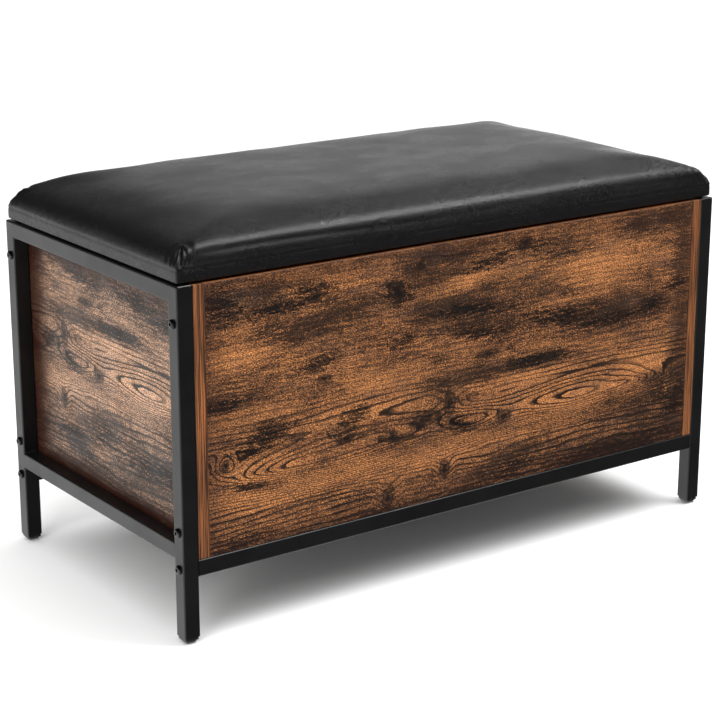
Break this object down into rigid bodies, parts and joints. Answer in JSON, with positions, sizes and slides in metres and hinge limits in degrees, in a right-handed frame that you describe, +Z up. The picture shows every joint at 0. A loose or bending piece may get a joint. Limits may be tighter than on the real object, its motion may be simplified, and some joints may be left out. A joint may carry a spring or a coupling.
{
  "type": "storage bench",
  "caption": "Flip-top storage bench: padded black seat hinged on a rustic brown board chest in a black square-tube steel frame.",
  "frame": {"origin": "on the floor, under the middle of the bench", "axes": "+X along the bench, from its left end to its right end; +Y from the front to the hinged rear; +Z up"},
  "size_m": [0.8072, 0.41, 0.4813],
  "materials": {
    "powder_coat": "satin black powder coat",
    "black_bolt": "black oxide",
    "zinc_steel": "bright zinc",
    "rustic_board": "satin rustic brown laminate on particleboard",
    "lid_board": "raw particleboard",
    "foam": "open-cell foam",
    "leather": "semi-gloss black faux leather",
    "dust_cloth": "non-woven cloth",
    "glide_plastic": "moulded plastic",
    "rubber": "matte"
  },
  "bodies": {
    "chest": {"bolt_lower_front_left": "black_bolt", "bolt_lower_front_right": "black_bolt", "bolt_lower_rear_left": "black_bolt", "bolt_lower_rear_right": "black_bolt", "bolt_rail_front_left": "black_bolt", "bolt_rail_front_right": "black_bolt", "bolt_rail_rear_left": "black_bolt", "bolt_rail_rear_right": "black_bolt", "bolt_upper_front_left": "black_bolt", "bolt_upper_front_right": "black_bolt", "bolt_upper_rear_left": "black_bolt", "bolt_upper_rear_right": "black_bolt", "bottom_panel": "rustic_board", "foot_glide_front_left": "glide_plastic", "foot_glide_front_right": "glide_plastic", "foot_glide_rear_left": "glide_plastic", "foot_glide_rear_right": "glide_plastic", "front_panel": "rustic_board", "front_rail": "powder_coat", "hinge_panel_leaf_left": "zinc_steel", "hinge_panel_leaf_right": "zinc_steel", "hinge_pin_left": "zinc_steel", "hinge_pin_right": "zinc_steel", "leg_front_left": "powder_coat", "leg_front_right": "powder_coat", "leg_rear_left": "powder_coat", "leg_rear_right": "powder_coat", "panel_leaf_screw_left_1": "zinc_steel", "panel_leaf_screw_left_2": "zinc_steel", "panel_leaf_screw_right_1": "zinc_steel", "panel_leaf_screw_right_2": "zinc_steel", "rail_nut_front_left": "zinc_steel", "rail_nut_front_right": "zinc_steel", "rail_nut_rear_left": "zinc_steel", "rail_nut_rear_right": "zinc_steel", "rear_panel": "rustic_board", "rear_rail": "powder_coat", "side_bottom_rail_left": "powder_coat", "side_bottom_rail_right": "powder_coat", "side_panel_left": "rustic_board", "side_panel_right": "rustic_board", "side_top_rail_left": "powder_coat", "side_top_rail_right": "powder_coat"},
    "lid": {"dust_cover": "dust_cloth", "hinge_lid_leaf_left": "zinc_steel", "hinge_lid_leaf_right": "zinc_steel", "leather_cover": "leather", "lid_board": "lid_board", "lid_bumper_front_left": "rubber", "lid_bumper_front_right": "rubber", "lid_bumper_rear_left": "rubber", "lid_bumper_rear_right": "rubber", "lid_leaf_screw_left_1": "zinc_steel", "lid_leaf_screw_left_2": "zinc_steel", "lid_leaf_screw_right_1": "zinc_steel", "lid_leaf_screw_right_2": "zinc_steel", "seat_foam": "foam"}
  },
  "joints": [
    {"name": "lid_hinge", "type": "hinge", "parent": "chest", "child": "lid", "pos_m": [0, 0.202, 0.4165], "axis": [-1, 0, 0], "range_deg": [0, 95]}
  ]
}
